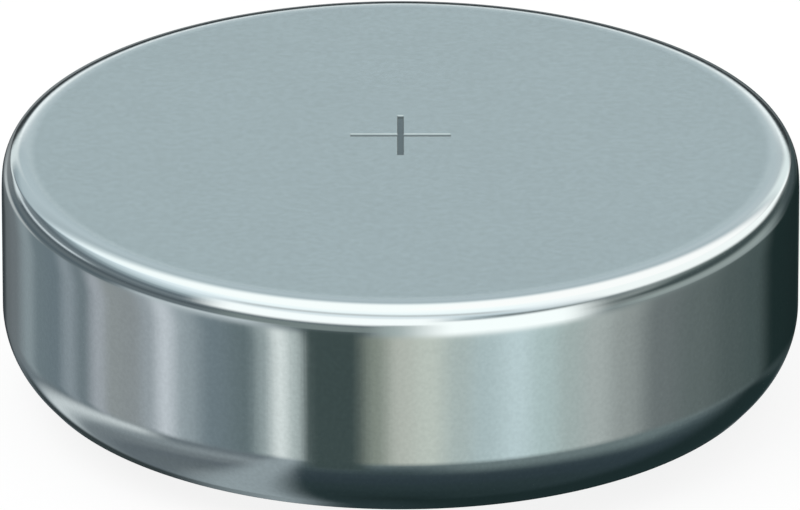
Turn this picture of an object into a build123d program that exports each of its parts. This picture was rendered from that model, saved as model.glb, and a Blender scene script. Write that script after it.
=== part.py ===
from build123d import *
import os
from math import cos, radians, sin

# Silver oxide button cell, 4.8 mm across. Every piece is a body of revolution about Z.
# The origin is the centre of the negative contact face. The positive face is on top.
# All lengths are in millimetres and all angles in degrees.

# Overall
cell_diameter = 4.80
cell_height = 1.55
cap_projection = 0.18  # how far the cap stands out of the crimped edge

# Positive can: a deep-drawn cup, with its base on top
can_wall = 0.15
can_base = 0.15
base_inside_chamfer = 0.08
rim_radius = 0.08  # tight bend at the edge of the flat face
shoulder_radius = 0.25  # wide bend that runs on into the wall
rim_turn = 52.0  # how far the tight bend has turned where the wide one takes over

# Crimp: the open edge of the can, rolled inward over the gasket
crimp_radius = 0.50
crimp_turn = 41.5
crimp_land = 0.075  # straight strip between the bend and the cut edge
cut_edge_break = 0.015  # burr taken off the edges of the sheet

# Contents, from the base of the can down
pellet_thickness = 0.42
pellet_chamfer = 0.09
separator_thickness = 0.04
disc_clearance = 0.01  # round each disc that is laid in

# Gasket: a nylon ring, J-shaped in section
gasket_wall = 0.17
gasket_foot = 0.12  # under the crown of the cap's skirt
foot_overhang = 0.06  # how far the foot reaches past the skirt
seal_recess = 0.03  # from the crimped edge back to the open end of the gasket

# Negative cap: a shallow cup with a hemmed skirt
cap_wall = 0.10
cap_corner_radius = 0.18
hem_length = 0.32
hem_crown_chamfer = 0.05
cap_bend_radius = 0.08  # inside both bends of the step under the hem
cap_step_turn = 34.0
cap_step_land = 0.04

# Radii
can_radius = cell_diameter / 2
can_bore = can_radius - can_wall
disc_radius = can_bore - disc_clearance
hem_radius = can_bore - gasket_wall
leaf_radius = hem_radius - cap_wall
skirt_bore = leaf_radius - cap_wall
foot_bore = skirt_bore - foot_overhang
step_run = cap_bend_radius + cap_bend_radius + cap_wall
step_width = step_run * (1 - cos(radians(cap_step_turn))) + cap_step_land * sin(radians(cap_step_turn))
neck_radius = leaf_radius - step_width
neck_bore = neck_radius - cap_wall

# Levels
base_level = cell_height - can_base
pellet_level = base_level - pellet_thickness
separator_level = pellet_level - separator_thickness
skirt_level = separator_level - gasket_foot
hem_end = skirt_level - hem_length
step_height = step_run * sin(radians(cap_step_turn)) + cap_step_land * cos(radians(cap_step_turn))
step_level = hem_end - step_height
seal_end = cap_projection + seal_recess

UP = (0, 1)
DOWN = (0, -1)
OUTWARD = (1, 0)


def revolved(section):
    """The solid of a half section that was drawn with radius as X and height as Y."""
    return revolve(Plane.XZ * section, axis=Axis.Z)


def ring(inner, outer, low, high):
    """A rectangular half section."""
    return Pos(inner, low) * Rectangle(outer - inner, high - low, align=(Align.MIN, Align.MIN))


def can_section():
    """The cup: a flat base with a rounded shoulder, a straight wall and the crimped edge."""
    shoulder_width = rim_radius * sin(radians(rim_turn)) + shoulder_radius * (1 - sin(radians(rim_turn)))
    shoulder_drop = rim_radius * (1 - cos(radians(rim_turn))) + shoulder_radius * cos(radians(rim_turn))
    crimp_level = (
        cap_projection + crimp_radius * sin(radians(crimp_turn)) + crimp_land * cos(radians(crimp_turn))
    )
    wall_top = (can_radius, cell_height - shoulder_drop)

    face = Line((0, cell_height), (can_radius - shoulder_width, cell_height))
    rim = JernArc(face @ 1, OUTWARD, rim_radius, -rim_turn)
    shoulder = JernArc(rim @ 1, rim % 1, shoulder_radius, rim_turn - 90)
    wall = Line(wall_top, (can_radius, crimp_level))
    crimp = JernArc(wall @ 1, DOWN, crimp_radius, -crimp_turn)
    land = Line(crimp @ 1, (crimp @ 1) + (crimp % 1) * crimp_land)

    floor = Line((0, base_level), (can_bore - base_inside_chamfer, base_level))
    corner = Line(floor @ 1, (can_bore, base_level - base_inside_chamfer))
    bore = Line(corner @ 1, (can_bore, crimp_level))
    inside_crimp = JernArc(bore @ 1, DOWN, crimp_radius - can_wall, -crimp_turn)
    inside_land = Line(inside_crimp @ 1, (inside_crimp @ 1) + (inside_crimp % 1) * crimp_land)

    cut_edge = Line(land @ 1, inside_land @ 1)
    axis = Line(floor @ 0, face @ 0)
    outside = [face, rim, shoulder, wall, crimp, land]
    inside = [floor, corner, bore, inside_crimp, inside_land]
    section = make_face(outside + [cut_edge] + inside + [axis])
    cut_corners = [section.vertices().sort_by_distance(end)[0] for end in (land @ 1, inside_land @ 1)]
    return chamfer(cut_corners, cut_edge_break)


def cap_outside():
    """All that lies inside the cap's outer surface, up to the crown of its skirt."""
    contact = Line((0, 0), (neck_radius - cap_corner_radius, 0))
    corner = JernArc(contact @ 1, OUTWARD, cap_corner_radius, 90)
    neck = Line(corner @ 1, (neck_radius, step_level))
    flare = JernArc(neck @ 1, UP, cap_bend_radius, -cap_step_turn)
    step = Line(flare @ 1, (flare @ 1) + (flare % 1) * cap_step_land)
    turn_up = JernArc(step @ 1, flare % 1, cap_bend_radius + cap_wall, cap_step_turn)
    leaf = Line(turn_up @ 1, (leaf_radius, skirt_level))
    crown = Line(leaf @ 1, (0, skirt_level))
    axis = Line(crown @ 1, contact @ 0)
    return make_face([contact, corner, neck, flare, step, turn_up, leaf, crown, axis])


def cap_inside():
    """The room in the cap, which the gel fills. The bends are plain cones on this side."""
    corners = [
        (0, cap_wall),
        (neck_radius - cap_corner_radius, cap_wall),
        (neck_bore, cap_corner_radius),
        (neck_bore, step_level),
        (skirt_bore, hem_end),
        (skirt_bore, skirt_level),
        (0, skirt_level),
    ]
    return make_face(Polyline(corners, close=True))


def cap_section():
    """The cup with its skirt turned back outward on itself and pressed flat, as a hem."""
    cup = cap_outside() - cap_inside()
    section = cup + ring(leaf_radius, hem_radius, hem_end, skirt_level)
    crown_corners = [(skirt_bore, skirt_level), (hem_radius, skirt_level)]
    crown = [section.vertices().sort_by_distance(corner)[0] for corner in crown_corners]
    section = chamfer(crown, hem_crown_chamfer)
    cut_corner = section.vertices().sort_by_distance((hem_radius, hem_end))[0]
    return chamfer(cut_corner, cut_edge_break)


def gasket_section(can, cap):
    """The moulded ring, with a recess for the hem, as the crimped can and the cap squeeze it."""
    moulding = ring(foot_bore, can_bore, seal_end, separator_level)
    recess = ring(foot_bore, hem_radius, hem_end + cut_edge_break, skirt_level)
    squeezed = moulding - recess - can - cap
    return squeezed.faces().sort_by(SortBy.AREA)[-1]


def disc(radius, low, high):
    return Pos(0, 0, low) * Cylinder(radius, high - low, align=(Align.CENTER, Align.CENTER, Align.MIN))


def cathode_pellet():
    """The pressed tablet. Its upper edge clears the corner of the can."""
    pellet = disc(disc_radius, pellet_level, base_level)
    upper_edge = pellet.edges().filter_by(GeomType.CIRCLE).sort_by(Axis.Z)[-1]
    return chamfer(upper_edge, pellet_chamfer)


can = can_section()
cap = cap_section()
pieces = {
    "can": revolved(can),
    "cathode_pellet": cathode_pellet(),
    "separator": disc(disc_radius, separator_level, pellet_level),
    "absorber": disc(foot_bore - disc_clearance, skirt_level, separator_level),
    "anode_gel": revolved(cap_inside()),
    "gasket": revolved(gasket_section(can, cap)),
    "cap": revolved(cap),
}

os.makedirs("parts", exist_ok=True)
for name, solid in pieces.items():
    export_step(solid, f"parts/{name}.step")
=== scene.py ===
import math

import bmesh
import bpy
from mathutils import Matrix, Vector


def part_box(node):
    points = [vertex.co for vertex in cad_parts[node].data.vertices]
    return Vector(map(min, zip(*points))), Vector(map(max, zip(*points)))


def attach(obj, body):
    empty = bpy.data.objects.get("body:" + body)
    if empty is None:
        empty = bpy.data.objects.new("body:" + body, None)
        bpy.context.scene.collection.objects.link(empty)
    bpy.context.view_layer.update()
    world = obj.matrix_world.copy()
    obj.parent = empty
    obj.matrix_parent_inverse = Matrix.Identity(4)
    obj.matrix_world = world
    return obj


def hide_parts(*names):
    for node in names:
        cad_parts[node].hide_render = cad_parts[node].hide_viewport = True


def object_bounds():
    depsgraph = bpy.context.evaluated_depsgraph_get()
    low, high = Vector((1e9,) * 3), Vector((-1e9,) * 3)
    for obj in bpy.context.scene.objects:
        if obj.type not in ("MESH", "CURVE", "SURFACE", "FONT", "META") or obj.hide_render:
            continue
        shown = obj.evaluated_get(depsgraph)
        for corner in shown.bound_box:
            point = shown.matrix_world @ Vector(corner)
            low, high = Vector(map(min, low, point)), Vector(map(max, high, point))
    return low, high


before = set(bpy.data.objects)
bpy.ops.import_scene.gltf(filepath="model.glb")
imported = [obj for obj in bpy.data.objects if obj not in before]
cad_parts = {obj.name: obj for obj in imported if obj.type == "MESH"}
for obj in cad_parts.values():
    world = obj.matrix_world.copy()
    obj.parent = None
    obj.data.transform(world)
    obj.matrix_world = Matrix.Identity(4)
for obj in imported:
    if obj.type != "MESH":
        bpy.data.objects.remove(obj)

bl_info = {
    "name": "Button Cell",
    "version": (1, 0, 0),
    "blender": (4, 5, 0),
    "location": "View3D > Sidebar > Button Cell",
    "description": "Silver oxide button cell: drawn can, crimped over a nylon gasket on to a hemmed cap",
    "category": "Add Mesh",
}

MM = 0.001
CAD_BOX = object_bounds()
CAN_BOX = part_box("can")
CAP_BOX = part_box("cap")
AROUND = 256  # steps round each turned piece, as many as the border of the marked patch has
QUARTER = math.pi / 2


def linear(hex_colour):
    """An sRGB hex colour as linear RGBA."""
    channels = [int(hex_colour[i : i + 2], 16) / 255 for i in (1, 3, 5)]
    return tuple(c / 12.92 if c <= 0.04045 else ((c + 0.055) / 1.055) ** 2.4 for c in channels) + (1.0,)


def length(name, description, default_mm):
    """A length property that is given in millimetres and kept in metres."""
    return bpy.props.FloatProperty(
        name=name, description=description, default=default_mm * MM, min=0.0, precision=6, unit="LENGTH"
    )


def angle(name, description, default_degrees):
    """An angle property that is given in degrees and kept in radians."""
    return bpy.props.FloatProperty(
        name=name, description=description, default=math.radians(default_degrees), unit="ROTATION"
    )


def amount(name, description, default, highest=1.0):
    """A plain number from nothing up."""
    return bpy.props.FloatProperty(
        name=name, description=description, default=default, min=0.0, max=highest, subtype="FACTOR"
    )


def colour(name, description, default):
    """A colour property with an sRGB hex default."""
    return bpy.props.FloatVectorProperty(
        name=name,
        description=description,
        default=linear(default),
        size=4,
        min=0.0,
        max=1.0,
        subtype="COLOR",
    )


# ---------------------------------------------------------------- settings


class CELL_PG_can(bpy.types.PropertyGroup):
    wall: length("Sheet", "Thickness of the can's sheet", 0.15)
    ease_radius: length("Rim ease", "Slight fall of the face before the rim", 0.40)
    ease_turn: angle("Ease turn", "How far the face has turned where the edge bend starts", 7.0)
    edge_radius: length("Edge bend", "Bend at the edge of the face", 0.15)
    edge_turn: angle("Edge turn", "Where the edge bend hands over to the tight one", 30.0)
    rim_radius: length("Rim bend", "Tight bend between the edge and the shoulder", 0.04)
    rim_turn: angle("Rim turn", "Where the tight bend hands over to the wide one", 52.0)
    shoulder_radius: length("Shoulder bend", "Wide bend that runs on into the wall", 0.22)
    wall_ease_radius: length("Wall ease", "Last slight bend before the straight wall", 1.5)
    wall_ease_turn: angle("Wall ease turn", "How much of the turn is left for it", 4.0)
    base_inside_radius: length("Inside corner", "Between the base and the bore", 0.08)
    crimp_radius: length("Crimp bend", "Outside of the rolled edge", 0.50)
    crimp_turn: angle("Crimp turn", "How far the open edge is rolled in", 41.5)
    crimp_land: length("Crimp land", "Straight strip before the cut edge", 0.075)
    cut_edge: length("Cut edge", "Rounding of the sheet's cut edge", 0.015)
    cap_projection: length("Cap projection", "How far the cap stands out of the crimp", 0.18)
    mark_length: length("Mark length", "Length of each stroke of the plus sign", 0.60)
    mark_width: length("Mark width", "Width of each stroke", 0.036)
    mark_depth: length("Mark depth", "How deep the strokes are pressed", 0.012)
    mark_offset: length("Mark offset", "From the centre of the face towards the back", 0.21)
    metal: colour("Bright nickel", "Nickel plate, ironed bright", "#D5D5D4")
    satin: colour("Satin nickel", "Nickel plate on the rolled face", "#BAC0C0")
    # Painted shade: the mark colour darkens the bottom of the pressed strokes, standing in for the shade in
    # them
    mark: colour("Mark", "Nickel at the bottom of the pressed strokes", "#687072")
    face_roughness: amount("Face roughness", "Satin face of the sheet", 0.24)
    wall_roughness: amount("Wall roughness", "Wall, ironed by the die", 0.07)


class CELL_PG_closure(bpy.types.PropertyGroup):
    cap_wall: length("Cap sheet", "Thickness of the cap's sheet", 0.10)
    cap_corner: length("Cap corner", "Bend round the contact face", 0.18)
    leaf_radius: length("Leaf", "Outside radius of the skirt's inner leaf", 1.98)
    hem_radius: length("Hem", "Outside radius of the folded skirt", 2.08)
    hem_end: length("Hem end", "Height of the hem's cut edge", 0.50)
    skirt_level: length("Crown", "Height of the skirt's fold", 0.82)
    bend_radius: length("Step bend", "Inside of both bends of the step", 0.08)
    step_turn: angle("Step turn", "Slope of the step under the hem", 34.0)
    step_land: length("Step land", "Straight part of the step", 0.04)
    hem_fold: length("Hem fold", "Rounding of the skirt's crown", 0.05)
    cut_edge: length("Cut edge", "Rounding of the hem's cut edge", 0.015)
    foot_bore: length("Foot bore", "Inside of the gasket's foot", 1.82)
    foot_top: length("Foot top", "Height of the top of the gasket", 0.94)
    seal_recess: length("Seal recess", "From the crimped edge back to the gasket", 0.03)
    nylon_edge: length("Nylon edge", "Rounding of the gasket's edges", 0.012)
    cap_metal: colour("Clad sheet", "Nickel side of the clad sheet", "#C9C8C4")
    nylon: colour("Nylon", "Natural moulded nylon", "#D9D5C6")


class CELL_PG_contents(bpy.types.PropertyGroup):
    silver_oxide: colour("Silver oxide", "Pressed powder", "#34312F")
    film: colour("Film", "Cellulose barrier film", "#E3DBC2")
    fleece: colour("Fleece", "Non-woven fibre", "#ECE9E1")
    zinc: colour("Zinc", "Zinc powder in gel", "#8A8E92")


class CELL_PG_stage(bpy.types.PropertyGroup):
    floor: colour("Floor", "Pale floor", "#FFFFFF")
    floor_size: length("Floor size", "Width of the floor", 400.0)
    floor_drop: length("Floor drop", "Gap under the cell, so that no two faces share a plane", 0.002)
    floor_glow: amount("Floor glow", "White of its own, for the camera alone", 0.86)
    floor_matt: amount("Floor matt", "White that the light gives it, with the shadow", 0.16)
    fill: amount("Fill", "Plain light from all round", 0.72, 2.0)
    key: amount("Key", "Share of the soft lamp", 0.28, 2.0)
    key_spread: angle("Key spread", "Angle that the soft lamp spans", 50.0)
    key_from: bpy.props.FloatVectorProperty(
        name="Key from",
        description="Where the soft lamp stands",
        default=(-0.45, -0.25, 0.86),
        subtype="DIRECTION",
    )
    cards: amount("Cards", "Level of the cards and the tent that the metal mirrors", 1.5, 4.0)
    camera_elevation: angle("Camera elevation", "Height of the camera as an angle", 23.75)
    camera_pitch: angle("Camera pitch", "How far the camera looks down", 23.716)
    camera_distance: length("Camera distance", "From the cell to the camera", 96.0)
    camera_shift: length("Camera shift", "How far the camera stands to the left", 0.003)
    lens: bpy.props.FloatProperty(
        name="Lens", description="Focal length of the camera", default=716.4, min=1.0, unit="CAMERA"
    )


SETTINGS = {
    "cell_can": CELL_PG_can,
    "cell_closure": CELL_PG_closure,
    "cell_contents": CELL_PG_contents,
    "cell_stage": CELL_PG_stage,
}


# ---------------------------------------------------------------- turned shapes


class Outline:
    """A half section drawn in one stroke, as (radius, height) points. A turn to the left is positive."""

    step = math.radians(2.0)
    hold = 0.002 * MM

    def __init__(self, radius, height, heading):
        self.points = [(radius, height)]
        self.heading = heading

    def _go(self, distance):
        radius, height = self.points[-1]
        across, up = distance * math.cos(self.heading), distance * math.sin(self.heading)
        self.points.append((radius + across, height + up))
        return self

    def run(self, distance):
        """Straight on. A point close to each end keeps the shading of the run flat."""
        if distance > 4 * self.hold:
            self._go(self.hold)._go(distance - 2 * self.hold)
            return self._go(self.hold)
        return self._go(distance)

    def bend(self, radius, turn):
        """An arc that starts along the heading."""
        steps = max(3, math.ceil(abs(turn) / self.step))
        part = turn / steps
        for _ in range(steps):
            self.heading += part / 2
            self._go(2 * radius * math.sin(abs(part) / 2))
            self.heading += part / 2
        return self

    def run_to_radius(self, radius):
        return self.run(abs((radius - self.points[-1][0]) / math.cos(self.heading)))

    def run_to_height(self, height):
        return self.run(abs((height - self.points[-1][1]) / math.sin(self.heading)))


def ring(mesh, radius, height, around):
    """A circle of vertices, or the one vertex on the axis."""
    if radius < 1e-9:
        return [mesh.verts.new((0.0, 0.0, height))]
    angles = [2 * math.pi * i / around for i in range(around)]
    return [mesh.verts.new((radius * math.cos(a), radius * math.sin(a), height)) for a in angles]


def bridge(mesh, low, high):
    """Faces between two neighbouring rings."""
    count = max(len(low), len(high))
    for i in range(count):
        j = (i + 1) % count
        corners = []
        for vertex in (low[i % len(low)], low[j % len(low)], high[j % len(high)], high[i % len(high)]):
            if vertex not in corners:
                corners.append(vertex)
        mesh.faces.new(corners)


def turn_rings(mesh, points, around, first=None):
    """Turns an outline round the axis and returns its first and last rings."""
    rings = [first] if first else []
    rings += [ring(mesh, radius, height, around) for radius, height in points]
    for low, high in zip(rings, rings[1:]):
        bridge(mesh, low, high)
    return rings[0], rings[-1]


def to_object(mesh, name):
    """Ends a mesh with its normals outward, as a smooth-shaded object in the scene."""
    bmesh.ops.recalc_face_normals(mesh, faces=mesh.faces)
    data = bpy.data.meshes.new(name)
    mesh.to_mesh(data)
    mesh.free()
    data.polygons.foreach_set("use_smooth", [True] * len(data.polygons))
    piece = bpy.data.objects.new(name, data)
    bpy.context.scene.collection.objects.link(piece)
    return piece


def shoulder_bends(settings):
    """The bends from the flat face to the wall: radius, turn at the start and turn at the end."""
    turns = (
        0.0,
        settings.ease_turn,
        settings.edge_turn,
        settings.rim_turn,
        QUARTER - settings.wall_ease_turn,
        QUARTER,
    )
    radii = (
        settings.ease_radius,
        settings.edge_radius,
        settings.rim_radius,
        settings.shoulder_radius,
        settings.wall_ease_radius,
    )
    return list(zip(radii, turns, turns[1:]))


def flat_radius(settings):
    """Radius of the flat face, inside all the bends."""
    bends = shoulder_bends(settings)
    width = sum(radius * (math.sin(end) - math.sin(start)) for radius, start, end in bends)
    return CAN_BOX[1].x - width


def bend_level(can):
    """Height at which the wall ends and the crimp starts."""
    rise = can.crimp_radius * math.sin(can.crimp_turn) + can.crimp_land * math.cos(can.crimp_turn)
    return can.cap_projection + rise


def dress(piece, material, node):
    """Gives a piece its finish, and lets it stand for its CAD node."""
    piece.data.materials.append(material)
    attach(piece, "root")
    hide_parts(node)


# ---------------------------------------------------------------- node helper


def add(tree, kind, inputs=None, output=0, **settings):
    """One node with its settings. An input is a value or another node's output. Returns one output."""
    node = tree.nodes.new(kind)
    for name, value in settings.items():
        setattr(node, name, value)
    for name, value in (inputs or {}).items():
        if isinstance(value, bpy.types.NodeSocket):
            tree.links.new(value, node.inputs[name])
        else:
            node.inputs[name].default_value = value
    return node.outputs[output] if len(node.outputs) else node


def new_tree(name):
    """An empty node material and its tree."""
    material = bpy.data.materials.new(name)
    material.use_nodes = True
    material.node_tree.nodes.clear()
    return material, material.node_tree


# Where the values of a noise mostly lie, and a map that falls from 1 to 0
NOISE_SPAN = {"From Min": 0.3, "From Max": 0.7}
FALLING = {"To Min": 1.0, "To Max": 0.0}


def millimetres(tree):
    """Position on the piece, in millimetres."""
    place = add(tree, "ShaderNodeTexCoord", output="Object")
    return add(tree, "ShaderNodeVectorMath", {0: place, "Scale": 1000.0}, operation="SCALE")


# ---------------------------------------------------------------- materials


def nickel_plated_can(settings):
    """Drawn nickel-plated steel: the face keeps the satin of the rolled sheet, the wall is ironed bright.
    The pressed strokes get painted shade, darker towards their bottom.
    """
    material, tree = new_tree("nickel_plate_drawn")
    place = millimetres(tree)
    top = CAN_BOX[1].z / MM
    face_radius = flat_radius(settings) / MM
    mark_shade_depth = settings.mark_depth / MM * 0.85  # painted shade: the pressed strokes are drawn at their darkest from this depth down
    axis_distance = add(
        tree,
        "ShaderNodeVectorMath",
        {0: add(tree, "ShaderNodeVectorMath", {0: place, 1: (1, 1, 0)}, operation="MULTIPLY")},
        output="Value",
        operation="LENGTH",
    )
    height = add(tree, "ShaderNodeSeparateXYZ", {0: place}, output="Z")
    # The satin gives way to the bright rim over the last 0.05 mm of the face and the start of its fall
    inside_rim = add(
        tree,
        "ShaderNodeMapRange",
        {"Value": axis_distance, "From Min": face_radius - 0.05, "From Max": face_radius + 0.04, **FALLING},
        interpolation_type="SMOOTHSTEP",
    )
    on_top = add(tree, "ShaderNodeMath", {0: height, 1: top - 0.04}, operation="GREATER_THAN")
    face = add(tree, "ShaderNodeMath", {0: inside_rim, 1: on_top}, operation="MULTIPLY")
    # Painted shade in the pressed strokes: the colour goes towards the mark colour as the stroke gets deeper
    mark = add(
        tree,
        "ShaderNodeMapRange",
        {"Value": height, "From Min": top - mark_shade_depth, "From Max": top - 0.002, **FALLING},
    )
    mark_painted_shade = add(tree, "ShaderNodeMath", {0: mark, 1: face}, operation="MULTIPLY")

    # Rolled grain of the sheet, 0.005 mm in the real one. It is drawn 0.035 mm across, to show at all
    grain = add(tree, "ShaderNodeTexNoise", {"Vector": place, "Scale": 28.0, "Roughness": 0.6})
    cloud = add(tree, "ShaderNodeTexNoise", {"Vector": place, "Scale": 1.4, "Roughness": 0.4})
    # Drawing lines run up the wall, about 0.03 mm apart and over a millimetre long
    upright = add(tree, "ShaderNodeVectorMath", {0: place, 1: (1.0, 1.0, 0.03)}, operation="MULTIPLY")
    lines = add(tree, "ShaderNodeTexNoise", {"Vector": upright, "Scale": 30.0})
    # Crystals of the plating, 0.003 mm in the real one. They are drawn 0.025 mm across, as a faint speckle
    crystals = add(tree, "ShaderNodeTexNoise", {"Vector": place, "Scale": 40.0, "Detail": 1.0})
    tones = {"To Min": 0.962, "To Max": 1.03}
    speckle = add(tree, "ShaderNodeMapRange", {"Value": crystals, **NOISE_SPAN, **tones})
    # The bend above the wall is burnished, so the speckle fades out there
    on_wall = add(
        tree,
        "ShaderNodeMapRange",
        {"Value": height, "From Min": top - 0.26, "From Max": top - 0.16, **FALLING},
    )
    speckle = add(tree, "ShaderNodeMix", {"Factor": on_wall, "A": 1.0, "B": speckle}, data_type="FLOAT")

    shade = add(tree, "ShaderNodeMapRange", {"Value": grain, **NOISE_SPAN, "To Min": 0.95, "To Max": 1.035})
    sheet = add(
        tree,
        "ShaderNodeMix",
        {"Factor": face, 6: tuple(settings.metal), 7: tuple(settings.satin)},
        output=2,
        data_type="RGBA",
    )
    shade = add(tree, "ShaderNodeMix", {"Factor": face, "A": speckle, "B": shade}, data_type="FLOAT")
    plate = add(tree, "ShaderNodeVectorMath", {0: sheet, "Scale": shade}, operation="SCALE")
    # The painted shade of the pressed strokes is mixed into the plate's colour here
    tone = add(
        tree,
        "ShaderNodeMix",
        {"Factor": mark_painted_shade, 6: plate, 7: tuple(settings.mark)},
        output=2,
        data_type="RGBA",
    )
    face_rough = {"To Min": settings.face_roughness - 0.01, "To Max": settings.face_roughness + 0.01}
    wall_rough = {"To Min": settings.wall_roughness - 0.01, "To Max": settings.wall_roughness + 0.02}
    satin = add(tree, "ShaderNodeMapRange", {"Value": cloud, **NOISE_SPAN, **face_rough})
    bright = add(tree, "ShaderNodeMapRange", {"Value": lines, **NOISE_SPAN, **wall_rough})
    roughness = add(tree, "ShaderNodeMix", {"Factor": face, "A": bright, "B": satin}, data_type="FLOAT")
    relief = add(tree, "ShaderNodeMix", {"Factor": face, "A": lines, "B": grain}, data_type="FLOAT")
    lift = add(tree, "ShaderNodeMix", {"Factor": face, "A": 0.18, "B": 0.25}, data_type="FLOAT")
    normal = add(tree, "ShaderNodeBump", {"Height": relief, "Strength": lift, "Distance": 0.0004 * MM})
    surface = add(
        tree,
        "ShaderNodeBsdfPrincipled",
        {"Base Color": tone, "Metallic": 1.0, "Roughness": roughness, "Normal": normal},
    )
    add(tree, "ShaderNodeOutputMaterial", {"Surface": surface})
    return material


def nickel_clad_cap(settings):
    """Clad sheet with nickel outside, drawn and tumbled: bright, but a little softer than the can's wall."""
    material, tree = new_tree("nickel_clad_sheet")
    place = millimetres(tree)
    cloud_noise = {"Vector": place, "Scale": 2.5, "Detail": 4.0, "Roughness": 0.55}
    scuff_noise = {"Vector": place, "Scale": 35.0, "Detail": 3.0, "Roughness": 0.6}
    cloud = add(tree, "ShaderNodeTexNoise", cloud_noise)
    scuffs = add(tree, "ShaderNodeTexNoise", scuff_noise)
    shade = add(tree, "ShaderNodeMapRange", {"Value": cloud, **NOISE_SPAN, "To Min": 0.95, "To Max": 1.02})
    plain = tuple(settings.cap_metal)[:3]
    tone = add(tree, "ShaderNodeVectorMath", {0: plain, "Scale": shade}, operation="SCALE")
    rough = {"To Min": 0.17, "To Max": 0.25}
    roughness = add(tree, "ShaderNodeMapRange", {"Value": scuffs, **NOISE_SPAN, **rough})
    normal = add(tree, "ShaderNodeBump", {"Height": scuffs, "Strength": 0.3, "Distance": 0.0005 * MM})
    surface = add(
        tree,
        "ShaderNodeBsdfPrincipled",
        {"Base Color": tone, "Metallic": 1.0, "Roughness": roughness, "Normal": normal},
    )
    add(tree, "ShaderNodeOutputMaterial", {"Surface": surface})
    return material


def moulded_nylon(settings):
    """Natural nylon 6.6, injection moulded: milky, with a soft gloss."""
    material, tree = new_tree("nylon_moulded")
    place = millimetres(tree)
    milk = add(tree, "ShaderNodeTexNoise", {"Vector": place, "Scale": 3.0, "Detail": 3.0})
    skin = add(tree, "ShaderNodeTexNoise", {"Vector": place, "Scale": 40.0})
    shade = add(tree, "ShaderNodeMapRange", {"Value": milk, **NOISE_SPAN, "To Min": 0.94, "To Max": 1.02})
    plain = tuple(settings.nylon)[:3]
    tone = add(tree, "ShaderNodeVectorMath", {0: plain, "Scale": shade}, operation="SCALE")
    roughness = add(tree, "ShaderNodeMapRange", {"Value": skin, **NOISE_SPAN, "To Min": 0.38, "To Max": 0.5})
    normal = add(tree, "ShaderNodeBump", {"Height": skin, "Strength": 0.3, "Distance": 0.0006 * MM})
    surface = add(
        tree,
        "ShaderNodeBsdfPrincipled",
        {
            "Base Color": tone,
            "Roughness": roughness,
            "IOR": 1.53,
            "Subsurface Weight": 0.2,
            "Subsurface Scale": 0.05 * MM,
            "Normal": normal,
        },
    )
    add(tree, "ShaderNodeOutputMaterial", {"Surface": surface})
    return material


def pressed_silver_oxide(settings):
    """Silver oxide with graphite, pressed from powder: near black, in grains of 0.02 mm, a few bright."""
    material, tree = new_tree("silver_oxide_pressed")
    place = millimetres(tree)
    grains = add(tree, "ShaderNodeTexVoronoi", {"Vector": place, "Scale": 40.0}, output="Distance")
    tint = add(tree, "ShaderNodeTexVoronoi", {"Vector": place, "Scale": 40.0}, output="Color")
    value = add(tree, "ShaderNodeSeparateColor", {0: tint}, output="Red")
    shade = add(tree, "ShaderNodeMapRange", {"Value": value, "To Min": 0.7, "To Max": 1.6})
    plain = tuple(settings.silver_oxide)[:3]
    tone = add(tree, "ShaderNodeVectorMath", {0: plain, "Scale": shade}, operation="SCALE")
    spark = add(tree, "ShaderNodeMath", {0: value, 1: 0.93}, operation="GREATER_THAN")
    normal = add(tree, "ShaderNodeBump", {"Height": grains, "Strength": 0.6, "Distance": 0.006 * MM})
    surface = add(
        tree,
        "ShaderNodeBsdfPrincipled",
        {"Base Color": tone, "Metallic": spark, "Roughness": 0.75, "Normal": normal},
    )
    add(tree, "ShaderNodeOutputMaterial", {"Surface": surface})
    return material


def cellulose_film(settings):
    """Regenerated cellulose film, cast: smooth, cream and slightly cloudy."""
    material, tree = new_tree("cellulose_film_cast")
    place = millimetres(tree)
    cloud = add(tree, "ShaderNodeTexNoise", {"Vector": place, "Scale": 1.5, "Detail": 3.0})
    shade = add(tree, "ShaderNodeMapRange", {"Value": cloud, **NOISE_SPAN, "To Min": 0.93, "To Max": 1.02})
    plain = tuple(settings.film)[:3]
    tone = add(tree, "ShaderNodeVectorMath", {0: plain, "Scale": shade}, operation="SCALE")
    roughness = add(tree, "ShaderNodeMapRange", {"Value": cloud, "To Min": 0.25, "To Max": 0.45})
    surface = add(tree, "ShaderNodeBsdfPrincipled", {"Base Color": tone, "Roughness": roughness})
    add(tree, "ShaderNodeOutputMaterial", {"Surface": surface})
    return material


def fibre_fleece(settings):
    """Non-woven cotton fleece: matted fibres about 0.015 mm thick, matt white with pores between them."""
    material, tree = new_tree("fleece_nonwoven")
    place = millimetres(tree)
    stretched = add(tree, "ShaderNodeVectorMath", {0: place, 1: (1.0, 0.15, 1.0)}, operation="MULTIPLY")
    crossed = add(tree, "ShaderNodeVectorMath", {0: place, 1: (0.15, 1.0, 1.0)}, operation="MULTIPLY")
    along = add(tree, "ShaderNodeTexNoise", {"Vector": stretched, "Scale": 60.0})
    across = add(tree, "ShaderNodeTexNoise", {"Vector": crossed, "Scale": 60.0})
    fibres = add(tree, "ShaderNodeMath", {0: along, 1: across}, operation="MAXIMUM")
    shade = add(
        tree,
        "ShaderNodeMapRange",
        {"Value": fibres, "From Min": 0.4, "From Max": 0.7, "To Min": 0.8, "To Max": 1.02},
    )
    plain = tuple(settings.fleece)[:3]
    tone = add(tree, "ShaderNodeVectorMath", {0: plain, "Scale": shade}, operation="SCALE")
    normal = add(tree, "ShaderNodeBump", {"Height": fibres, "Strength": 0.8, "Distance": 0.008 * MM})
    surface = add(tree, "ShaderNodeBsdfPrincipled", {"Base Color": tone, "Roughness": 0.9, "Normal": normal})
    add(tree, "ShaderNodeOutputMaterial", {"Surface": surface})
    return material


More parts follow.
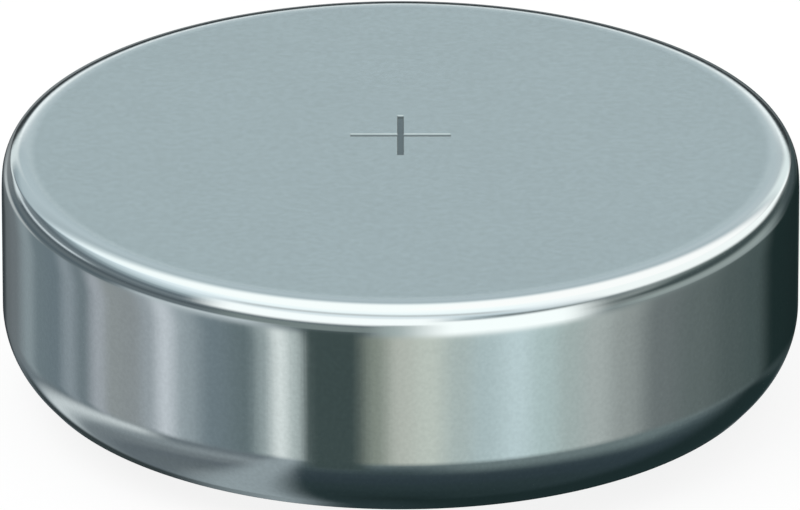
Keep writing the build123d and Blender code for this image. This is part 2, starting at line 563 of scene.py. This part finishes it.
def zinc_powder_gel(settings):
    """Zinc powder in a clear gel: grey grains about 0.08 mm across under a wet skin."""
    material, tree = new_tree("zinc_powder_gel")
    place = millimetres(tree)
    grains = add(tree, "ShaderNodeTexVoronoi", {"Vector": place, "Scale": 12.0}, output="Distance")
    tint = add(tree, "ShaderNodeTexVoronoi", {"Vector": place, "Scale": 12.0}, output="Color")
    value = add(tree, "ShaderNodeSeparateColor", {0: tint}, output="Red")
    shade = add(tree, "ShaderNodeMapRange", {"Value": value, "To Min": 0.55, "To Max": 1.1})
    plain = tuple(settings.zinc)[:3]
    tone = add(tree, "ShaderNodeVectorMath", {0: plain, "Scale": shade}, operation="SCALE")
    metallic = add(
        tree,
        "ShaderNodeMapRange",
        {"Value": grains, "From Min": 0.2, "From Max": 0.6, "To Min": 0.9, "To Max": 0.2},
    )
    normal = add(tree, "ShaderNodeBump", {"Height": grains, "Strength": 0.5, "Distance": 0.02 * MM})
    surface = add(
        tree,
        "ShaderNodeBsdfPrincipled",
        {
            "Base Color": tone,
            "Metallic": metallic,
            "Roughness": 0.5,
            "Coat Weight": 0.8,
            "Coat Roughness": 0.08,
            "Normal": normal,
        },
    )
    add(tree, "ShaderNodeOutputMaterial", {"Surface": surface})
    return material


# ---------------------------------------------------------------- pieces


# Radius of the first turned ring, outside the patch with the mark
MARK_FIELD = 0.8 * MM


def stroke_lines(settings):
    """Grid lines across one direction of the mark: close together at the edges of the strokes."""
    half_width = settings.mark_width / 2
    half_length = settings.mark_length / 2
    close = 0.0025 * MM
    margin = 0.035 * MM
    edges = [edge + k * close for edge in (half_width, half_length) for k in (-2, -1, 0, 1, 2)]
    start = half_width + 2 * close
    gap = half_length - 2 * close - start
    between = [start + gap * k / 20 for k in range(1, 20)]
    outer = [half_length + margin / 2, half_length + margin]
    side = sorted(edges + between + outer + [half_width / 2 - close])
    return [-line for line in reversed(side)] + [0.0] + side


def stroke_depth(x, y, settings):
    """How far the plus sign is pressed in at a point, from 0 to 1, with sloping sides."""
    half_width = settings.mark_width / 2
    half_length = settings.mark_length / 2
    slope = 0.006 * MM
    outside = min(
        max(abs(x) - half_length, abs(y) - half_width),
        max(abs(x) - half_width, abs(y) - half_length),
    )
    share = min(max(0.5 - outside / slope, 0.0), 1.0)
    return share * share * (3 - 2 * share)


def marked_patch(mesh, settings, level):
    """The square of the face with the plus sign. Returns its border, counter-clockwise from the right."""
    lines = stroke_lines(settings)
    count = len(lines)
    grid = []
    for y in lines:
        depths = [settings.mark_depth * stroke_depth(x, y, settings) for x in lines]
        places = [(x, y + settings.mark_offset, level - depth) for x, depth in zip(lines, depths)]
        grid.append([mesh.verts.new(place) for place in places])
    for low, high in zip(grid, grid[1:]):
        for i in range(count - 1):
            mesh.faces.new((low[i], low[i + 1], high[i + 1], high[i]))
    middle = count // 2
    right = [grid[row][-1] for row in range(middle, count - 1)]
    back = [grid[-1][column] for column in range(count - 1, 0, -1)]
    left = [grid[row][0] for row in range(count - 1, 0, -1)]
    front = [grid[0][column] for column in range(count - 1)]
    lower_right = [grid[row][-1] for row in range(middle)]
    return right + back + left + front + lower_right


class CELL_OT_can(bpy.types.Operator):
    """Makes the positive can, with its rounded shoulder, its rolled edge and the pressed plus sign"""

    bl_idname = "cell.can"
    bl_label = "Can"

    def execute(self, context):
        settings = context.scene.cell_can
        level = CAN_BOX[1].z
        crimp = settings.crimp_turn
        edge = settings.cut_edge
        crimp_level = bend_level(settings)

        outline = Outline(MARK_FIELD, level, 0.0)
        outline.run_to_radius(flat_radius(settings))
        for radius, start, end in shoulder_bends(settings):
            outline.bend(radius, start - end)
        outline.run_to_height(crimp_level)
        outline.bend(settings.crimp_radius, -crimp).run(settings.crimp_land - edge)
        outline.bend(edge, -QUARTER).run(settings.wall - 2 * edge).bend(edge, -QUARTER)
        outline.run(settings.crimp_land - edge).bend(settings.crimp_radius - settings.wall, crimp)
        outline.run_to_height(level - settings.wall - settings.base_inside_radius)
        outline.bend(settings.base_inside_radius, QUARTER)
        outline.run(outline.points[-1][0])

        mesh = bmesh.new()
        border = marked_patch(mesh, settings, level)
        points = outline.points[:-1] + [(0.0, outline.points[-1][1])]
        turn_rings(mesh, points, len(border), first=border)
        piece = to_object(mesh, "drawn_can")
        dress(piece, nickel_plated_can(settings), "can")
        return {"FINISHED"}


class CELL_OT_closure(bpy.types.Operator):
    """Makes the negative cap with its hemmed skirt, and the nylon gasket that the crimp squeezes round it"""

    bl_idname = "cell.closure"
    bl_label = "Cap and gasket"

    def execute(self, context):
        settings = context.scene.cell_closure
        can = context.scene.cell_can
        self.cap(settings)
        self.gasket(settings, can)
        return {"FINISHED"}

    def step(self, settings):
        """Radius of the cap's neck, and the height at which the step under the hem starts."""
        turn = settings.step_turn
        run = 2 * settings.bend_radius + settings.cap_wall
        neck = settings.leaf_radius - run * (1 - math.cos(turn)) - settings.step_land * math.sin(turn)
        level = settings.hem_end - run * math.sin(turn) - settings.step_land * math.cos(turn)
        return neck, level

    def cap(self, settings):
        turn = settings.step_turn
        sheet = settings.cap_wall
        fold = settings.hem_fold
        edge = settings.cut_edge
        neck, step_level = self.step(settings)

        outline = Outline(0.0, CAP_BOX[0].z, 0.0)
        outline.run_to_radius(neck - settings.cap_corner).bend(settings.cap_corner, QUARTER)
        outline.run_to_height(step_level)
        outline.bend(settings.bend_radius, -turn).run(settings.step_land)
        outline.bend(settings.bend_radius + sheet, turn)
        outline.heading = 0.0
        outline.run(sheet - edge).bend(edge, QUARTER)
        outline.run_to_height(settings.skirt_level - fold).bend(fold, QUARTER)
        outline.run_to_radius(settings.leaf_radius - sheet + fold).bend(fold, QUARTER)
        outline.run_to_height(settings.hem_end)
        outline.points.append((neck - sheet, step_level))
        outline.run_to_height(settings.cap_corner)
        outline.points.append((neck - settings.cap_corner, sheet))
        outline.points.append((0.0, sheet))

        mesh = bmesh.new()
        turn_rings(mesh, outline.points, AROUND)
        piece = to_object(mesh, "hemmed_cap")
        dress(piece, nickel_clad_cap(settings), "cap")

    def gasket(self, settings, can):
        sheet = settings.cap_wall
        turn = settings.step_turn
        crimp = can.crimp_turn
        bore = CAN_BOX[1].x - can.wall
        edge = settings.nylon_edge
        end = can.cap_projection + settings.seal_recess
        crimp_level = bend_level(can)
        inside = can.crimp_radius - can.wall

        neck, _ = self.step(settings)
        outline = Outline(neck, end + 2 * edge, -QUARTER)
        outline.bend(2 * edge, QUARTER)
        lip_radius = bore - inside * (1 - math.cos(crimp))
        lip_level = crimp_level - inside * math.sin(crimp)
        sag = (lip_level - end) / math.cos(crimp)
        rim_radius = lip_radius - sag * math.sin(crimp)
        outline.run_to_radius(rim_radius - 2 * edge)
        outline.points.append((rim_radius - edge * 0.6, end + edge * 0.4))
        outline.points.append((rim_radius + edge * math.sin(crimp), end + edge * math.cos(crimp)))
        outline.points.append((lip_radius, lip_level))
        outline.heading = math.atan2(math.cos(crimp), math.sin(crimp))
        outline.bend(inside, crimp)
        outline.run_to_height(settings.foot_top - edge).bend(edge, QUARTER)
        outline.run_to_radius(settings.foot_bore + edge).bend(edge, QUARTER)
        outline.run_to_height(settings.skirt_level)
        outline.heading = 0.0
        outline.run_to_radius(settings.leaf_radius - sheet + settings.hem_fold)
        outline.run_to_radius(settings.hem_radius - settings.hem_fold).bend(settings.hem_fold, -QUARTER)
        outline.run_to_height(settings.hem_end + settings.cut_edge)
        outline.bend(settings.cut_edge, -QUARTER)
        outline.run_to_radius(settings.leaf_radius)
        outline.heading = -QUARTER
        outline.bend(settings.bend_radius + sheet, -turn).run(settings.step_land)
        outline.bend(settings.bend_radius, turn)

        mesh = bmesh.new()
        first, last = turn_rings(mesh, outline.points, AROUND)
        bridge(mesh, last, first)
        piece = to_object(mesh, "nylon_gasket")
        dress(piece, moulded_nylon(settings), "gasket")


class CELL_OT_contents(bpy.types.Operator):
    """Gives the pellet, the separator, the absorber and the gel their finishes"""

    bl_idname = "cell.contents"
    bl_label = "Contents"

    def execute(self, context):
        settings = context.scene.cell_contents
        finishes = {
            "cathode_pellet": pressed_silver_oxide(settings),
            "separator": cellulose_film(settings),
            "absorber": fibre_fleece(settings),
            "anode_gel": zinc_powder_gel(settings),
        }
        for name, material in finishes.items():
            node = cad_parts[name]
            node.data.materials.clear()
            node.data.materials.append(material)
        return {"FINISHED"}


# ---------------------------------------------------------------- stage

# The set round the cell, as the bright metal mirrors it. Angles are in degrees: across from the front,
# positive to the right, and up from the horizon. A stop is an angle and the colour there.
# The tent is white overhead. To the right its lower part is a well, which is darker
TENT = (
    (-90, "#1C2A2C"), (-72, "#6A757A"), (-64, "#6C7579"), (-56, "#5E686D"), (-50, "#5C666C"),
    (-44, "#6C767B"), (-38, "#7C878C"), (-30, "#646F75"), (-19, "#748085"), (-15, "#5E6A6F"),
    (-11, "#505D64"), (-5, "#606B70"), (1, "#4C575D"), (5, "#5E6A70"), (9, "#6C787E"),
    (14, "#5E6B72"), (20, "#86969D"), (25, "#AFC0C6"), (30, "#C2D3DA"), (36, "#DAE9EF"),
    (43, "#EBF9FC"), (52, "#F2FCFD"), (64, "#F6FEFE"),
)
WELL_RIGHT = (30.0, 75.0)
WELL_BACK = (164.0, 179.0)
WELL = (
    (-90, "#1A2828"), (-34, "#1A2828"), (-28, "#5E6A6A"), (-18, "#778383"), (-14, "#8A9696"),
    (-10, "#8E9B9A"), (-6, "#84908F"), (-2, "#63706F"), (1, "#4B5858"), (5, "#445152"),
    (9, "#4F5C5C"), (13, "#687474"), (18, "#8D9798"), (24, "#C8D0D1"), (30, "#EEF3F4"),
    (38, "#F8FCFC"), (90, "#FAFDFD"),
)
# Dark sheet that lies under the cell, with a straight edge to the left of it and a pale margin beside that
# edge. Distances are shares of the sheet's depth below the cell
SHEET_SLANT = 0.38
SHEET_EDGE = (-0.39, -0.20)
MARGIN_EDGE = (-0.66, -0.46)
SHEET_TOP = (-20.0, -26.0)
SHEET = (
    (-90, "#1E2B2C"), (-78, "#243234"), (-66, "#29373A"), (-54, "#2D3A40"), (-46, "#313E44"),
    (-40, "#3A484C"), (-36, "#455357"), (-32, "#556366"), (-28, "#667476"), (90, "#667476"),
)
MARGIN = "#8A979C"
# Upright walls in a ring round the cell, low down. The right part of the ring has stops of its own
RING_TOP = (-15.5, -19.5)
RING_FOOT = (-31.0, -24.5)
RING_JOIN = 17.0
RING = (
    (-180, "#262C2E"), (-167, "#31373A"), (-160, "#596063"), (-150, "#626A6E"), (-137, "#7E8B90"),
    (-129, "#67757B"), (-119, "#65737A"), (-112, "#828E95"), (-105, "#69767C"), (-98, "#99A1A8"),
    (-92, "#878F91"), (-84, "#848C8F"), (-78, "#8F999F"), (-72, "#BAC3CA"), (-65, "#8D9AA0"),
    (-56, "#6A7980"), (-45, "#5F6E72"), (-40, "#8B999B"), (-35, "#D2DCDC"), (-30, "#A3B0B0"),
    (-26, "#3C4A4A"), (-14, "#3B4949"), (-7, "#7E8880"), (0, "#AEB5AE"), (8, "#B8C2BB"),
    (17, "#A5B4B3"),
)
RING_RIGHT = (
    (17, "#A5B4B3"), (24, "#A7BABD"), (34, "#B7CBCF"), (42, "#A8BCBD"), (50, "#9EADAC"),
    (58, "#A1ABAA"), (68, "#8C9594"), (80, "#677071"), (95, "#5B6666"), (112, "#4C5858"),
    (124, "#455252"), (138, "#1B2929"), (166, "#172323"), (180, "#3A4040"),
)
# Cards, each laid over those before it: centre across, half width, centre up, half height, tilt, droop of
# the ends, softness across and up, colour. The low card lies under the dark sheet
LOW_CARDS = (
    (-115, 36, -34, 3.5, 0.1, 0, 16, 7, "#B8C2C5"),
)
CARDS = (
    (-173, 34, 37, 12, 0, 8, 28, 28, "#A2B2B8"),
    (180, 32, -9, 15, 0, 0, 20, 8, "#767C7E"),
    (180, 24, 12, 5, 0, 10, 12, 5, "#2E3436"),
    (180, 20, 19.6, 1.9, 0, 5, 10, 4.2, "#EAF4F6"),
    (-153, 15, 9.5, 4.5, -0.55, -2.8, 8, 6, "#CCD8DA"),
    (-125, 26, 4.5, 1.5, 0.05, 0, 18, 4, "#CAD6DC"),
    (154, 11, 18.5, 8, 0.45, 0, 10, 8, "#D6E3E4"),
    (106, 46, 22.6, 10, -0.27, 0, 14, 7, "#F0F8F8"),
    (-22, 35, 20, 11.5, 0, 0, 16, 10, "#F6FEFF"),
    (-10, 44, 40, 2.5, 0, 5, 20, 8, "#B0B9BB"),
    (48, 24, 20.5, 3, -0.2, 0, 18, 7, "#707A7C"),
    (-22, 30, -6, 9, 0, 0, 16, 8, "#727F7F"),
    (-60, 23, -15, 4.5, 0, 0, 22, 6, "#B0BCC1"),
    (-141, 17, -17, 4, -0.2, 0, 12, 5, "#A8B0B2"),
    (2, 8, -6, 15, 0, 0, 10, 8, "#9CAAAA"),
    (64, 14, 5, 10, 0, 0, 18, 8, "#7E8888"),
    (30, 24, -2, 21, 0, 0, 18, 8, "#F6FFFF"),
    (105, 42, 3, 3.5, 0, 0, 30, 8, "#3E4A4B"),
    (-19, 9, -26, 11.5, 0, 0, 7, 6, "#3A4848"),
    (52, 38, -33, 7, 0, 0, 30, 16, "#667577"),
    (154, 24, -8, 8, 0, 0, 24, 8, "#3E4A4C"),
    (180, 26, -46, 17, 0, 0, 10, 8, "#2E3638"),
    (150, 14, -19, 7, 0, 0, 20, 10, "#1E2C2C"),
    (145, 30, -60, 33, 0, 0, 36, 10, "#1C2A2B"),
)


def colours_by_angle(tree, degrees, stops, low, high):
    """The colours of a set of stops, by an angle between low and high."""
    position = add(tree, "ShaderNodeMapRange", {"Value": degrees, "From Min": low, "From Max": high})
    colours = add(tree, "ShaderNodeValToRGB", {"Fac": position})
    elements = colours.node.color_ramp.elements
    colours.node.color_ramp.interpolation = "EASE"
    while len(elements) > 1:
        elements.remove(elements[-1])
    for index, (stop, hex_colour) in enumerate(stops):
        place = (stop - low) / (high - low)
        element = elements[0] if index == 0 else elements.new(place)
        element.position = place
        element.color = linear(hex_colour)
    return colours


def window(tree, value, centre, half, soft):
    """1 within half of the centre, falling to 0 over the softness."""
    away = add(tree, "ShaderNodeMath", {0: value, 1: centre}, operation="SUBTRACT")
    away = add(tree, "ShaderNodeMath", {0: away}, operation="ABSOLUTE")
    return add(
        tree,
        "ShaderNodeMapRange",
        {"Value": away, "From Min": half - soft / 2, "From Max": half + soft / 2, **FALLING},
        interpolation_type="SMOOTHSTEP",
    )


def card_place(tree, across, up, centre, half, height, half_height, tilt, droop, soft_across, soft_up):
    """1 where a card stands, and 0 beside it."""
    away = add(tree, "ShaderNodeMath", {0: across, 1: centre}, operation="SUBTRACT")
    away = add(tree, "ShaderNodeMath", {0: away, 1: 180.0, 2: -180.0}, operation="WRAP")
    bend = add(tree, "ShaderNodeMath", {0: away, 1: droop / half**2, 2: -tilt}, operation="MULTIPLY_ADD")
    level = add(tree, "ShaderNodeMath", {0: away, 1: bend, 2: up}, operation="MULTIPLY_ADD")
    beside = window(tree, away, 0.0, half, soft_across)
    above = window(tree, level, height, half_height, soft_up)
    return add(tree, "ShaderNodeMath", {0: beside, 1: above}, operation="MULTIPLY")


def sheet_places(tree, parts, toward, up):
    """Where the dark sheet lies, and where the pale margin beside it does."""
    drop = add(tree, "ShaderNodeMath", {0: parts["Z"], 1: -1.0}, operation="MULTIPLY")
    drop = add(tree, "ShaderNodeMath", {0: drop, 1: 0.01}, operation="MAXIMUM")
    slant = {0: toward, 1: SHEET_SLANT, 2: parts["X"]}
    beside = add(tree, "ShaderNodeMath", slant, operation="MULTIPLY_ADD")
    beside = add(tree, "ShaderNodeMath", {0: beside, 1: drop}, operation="DIVIDE")
    top_start, top_end = SHEET_TOP
    below = add(tree, "ShaderNodeMapRange", {"Value": up, "From Min": top_start, "From Max": top_end})
    places = []
    for start, end in (SHEET_EDGE, MARGIN_EDGE):
        place = add(
            tree,
            "ShaderNodeMapRange",
            {"Value": beside, "From Min": start, "From Max": end},
            interpolation_type="SMOOTHSTEP",
        )
        places.append(add(tree, "ShaderNodeMath", {0: place, 1: below}, operation="MULTIPLY"))
    return places


def well_place(tree, across):
    """Where the tent's lower part is the darker well, on the right."""
    (right_start, right_end), (back_start, back_end) = WELL_RIGHT, WELL_BACK
    right_span = {"From Min": right_start, "From Max": right_end}
    back_span = {"From Min": back_start, "From Max": back_end, **FALLING}
    right = add(tree, "ShaderNodeMapRange", {"Value": across, **right_span})
    back = add(tree, "ShaderNodeMapRange", {"Value": across, **back_span})
    return add(tree, "ShaderNodeMath", {0: right, 1: back}, operation="MULTIPLY")


def ring_place(tree, up):
    """Where the ring of walls stands, between its foot and its top."""
    edges = [
        add(
            tree,
            "ShaderNodeMapRange",
            {"Value": up, "From Min": start, "From Max": end},
            interpolation_type="SMOOTHSTEP",
        )
        for start, end in (RING_TOP, RING_FOOT)
    ]
    return add(tree, "ShaderNodeMath", {0: edges[0], 1: edges[1]}, operation="MULTIPLY")


def mirrored_set(tree):
    """The tent with all that stands in it, by the direction in which the metal mirrors it."""
    direction = add(tree, "ShaderNodeTexCoord", output="Generated")
    parts = add(tree, "ShaderNodeSeparateXYZ", {0: direction}).node.outputs
    toward = add(tree, "ShaderNodeMath", {0: parts["Y"], 1: -1.0}, operation="MULTIPLY")
    across = add(tree, "ShaderNodeMath", {0: parts["X"], 1: toward}, operation="ARCTAN2")
    across = add(tree, "ShaderNodeMath", {0: across}, operation="DEGREES")
    up = add(tree, "ShaderNodeMath", {0: parts["Z"]}, operation="ARCSINE")
    up = add(tree, "ShaderNodeMath", {0: up}, operation="DEGREES")

    on_sheet, on_margin = sheet_places(tree, parts, toward, up)
    on_right = add(tree, "ShaderNodeMath", {0: across, 1: RING_JOIN}, operation="GREATER_THAN")
    left_ring = colours_by_angle(tree, across, RING, -180, 180)
    right_ring = colours_by_angle(tree, across, RING_RIGHT, -180, 180)
    blend = {"output": 2, "data_type": "RGBA"}
    walls = add(tree, "ShaderNodeMix", {"Factor": on_right, 6: left_ring, 7: right_ring}, **blend)

    layers = [(well_place(tree, across), colours_by_angle(tree, up, WELL, -90, 90))]
    layers += [(on_margin, linear(MARGIN))]
    layers += [(card_place(tree, across, up, *card[:-1]), linear(card[-1])) for card in LOW_CARDS]
    layers += [(on_sheet, colours_by_angle(tree, up, SHEET, -90, 90))]
    layers += [(card_place(tree, across, up, *card[:-1]), linear(card[-1])) for card in CARDS]
    layers += [(ring_place(tree, up), walls)]
    view = colours_by_angle(tree, up, TENT, -90, 90)
    for place, colours in layers:
        view = add(tree, "ShaderNodeMix", {"Factor": place, 6: view, 7: colours}, **blend)
    return view


def studio_world(settings):
    """White for the camera, plain light for matt surfaces, and for the metal a white tent with its cards."""
    world = bpy.data.worlds.new("studio_tent")
    world.use_nodes = True
    world.cycles.sampling_method = "NONE"
    tree = world.node_tree
    tree.nodes.clear()
    path = add(tree, "ShaderNodeLightPath").node.outputs
    glossy, through = path["Is Glossy Ray"], path["Is Transmission Ray"]
    mirrored = add(tree, "ShaderNodeMath", {0: glossy, 1: through}, operation="MAXIMUM")
    fill = add(tree, "ShaderNodeBackground", {"Color": (1, 1, 1, 1), "Strength": settings.fill})
    tent = add(tree, "ShaderNodeBackground", {"Color": mirrored_set(tree), "Strength": settings.cards})
    backdrop = add(tree, "ShaderNodeBackground", {"Color": (1, 1, 1, 1), "Strength": 1.0})
    seen = add(tree, "ShaderNodeMixShader", {0: mirrored, 1: fill, 2: tent})
    seen = add(tree, "ShaderNodeMixShader", {0: path["Is Camera Ray"], 1: seen, 2: backdrop})
    add(tree, "ShaderNodeOutputWorld", {"Surface": seen})
    return world


def pale_floor(settings):
    """Matt white card. Most of its white is its own for the camera, so that it meets the backdrop. The rest
    is lit, and keeps a soft shadow."""
    material, tree = new_tree("card_matt_white")
    path = add(tree, "ShaderNodeLightPath").node.outputs
    camera, through = path["Is Camera Ray"], path["Is Transmission Ray"]
    seen = add(tree, "ShaderNodeMath", {0: camera, 1: through}, operation="MAXIMUM")
    glow = add(tree, "ShaderNodeMath", {0: seen, 1: settings.floor_glow}, operation="MULTIPLY")
    matt = add(tree, "ShaderNodeBsdfDiffuse", {"Color": (settings.floor_matt,) * 3 + (1.0,)})
    own = add(tree, "ShaderNodeEmission", {"Color": tuple(settings.floor), "Strength": glow})
    surface = add(tree, "ShaderNodeAddShader", {0: matt, 1: own})
    add(tree, "ShaderNodeOutputMaterial", {"Surface": surface})
    return material


class CELL_OT_stage(bpy.types.Operator):
    """Makes the floor, the light and the camera"""

    bl_idname = "cell.stage"
    bl_label = "Stage"

    def execute(self, context):
        settings = context.scene.cell_stage
        scene = context.scene
        mesh = bmesh.new()
        bmesh.ops.create_circle(mesh, cap_ends=True, segments=64, radius=settings.floor_size / 2)
        floor = to_object(mesh, "floor")
        floor.data.materials.append(pale_floor(settings))
        floor.location.z = CAD_BOX[0][2] - settings.floor_drop
        floor.visible_glossy = False
        scene.world = studio_world(settings)

        lamp = bpy.data.lights.new("softbox", "SUN")
        lamp.angle = settings.key_spread
        lamp.energy = settings.key * math.pi
        softbox = bpy.data.objects.new("softbox", lamp)
        softbox.rotation_euler = Vector(settings.key_from).to_track_quat("Z", "Y").to_euler()
        softbox.visible_glossy = False
        scene.collection.objects.link(softbox)

        view = bpy.data.cameras.new("camera")
        view.lens = settings.lens
        view.sensor_width = 36.0
        view.clip_start = 0.001
        view.clip_end = 10.0
        camera = bpy.data.objects.new("camera", view)
        aim = Vector((-settings.camera_shift, 0.0, CAN_BOX[0].z + CAN_BOX[1].x / 4))
        reach = settings.camera_distance
        rise = settings.camera_elevation
        camera.location = aim + Vector((0.0, -reach * math.cos(rise), reach * math.sin(rise)))
        camera.rotation_euler = (QUARTER - settings.camera_pitch, 0.0, 0.0)
        scene.collection.objects.link(camera)
        scene.camera = camera
        scene.view_settings.view_transform = "Standard"
        return {"FINISHED"}


class CELL_PT_panel(bpy.types.Panel):
    """Lists the steps and their settings"""

    bl_label = "Button Cell"
    bl_idname = "CELL_PT_panel"
    bl_space_type = "VIEW_3D"
    bl_region_type = "UI"
    bl_category = "Button Cell"

    def draw(self, context):
        layout = self.layout
        for operator in OPERATORS:
            layout.operator(operator.bl_idname)
        for name in SETTINGS:
            box = layout.box()
            group = getattr(context.scene, name)
            for key in group.bl_rna.properties.keys():
                if key not in ("rna_type", "name"):
                    box.prop(group, key)


OPERATORS = (CELL_OT_stage, CELL_OT_can, CELL_OT_closure, CELL_OT_contents)
CLASSES = tuple(SETTINGS.values()) + OPERATORS + (CELL_PT_panel,)


def register():
    for cls in CLASSES:
        bpy.utils.register_class(cls)
    for name, group in SETTINGS.items():
        setattr(bpy.types.Scene, name, bpy.props.PointerProperty(type=group))


def unregister():
    for name in SETTINGS:
        delattr(bpy.types.Scene, name)
    for cls in reversed(CLASSES):
        bpy.utils.unregister_class(cls)


def main():
    register()
    bpy.ops.cell.stage()
    bpy.ops.cell.can()
    bpy.ops.cell.closure()
    bpy.ops.cell.contents()


if __name__ == "__main__":
    main()
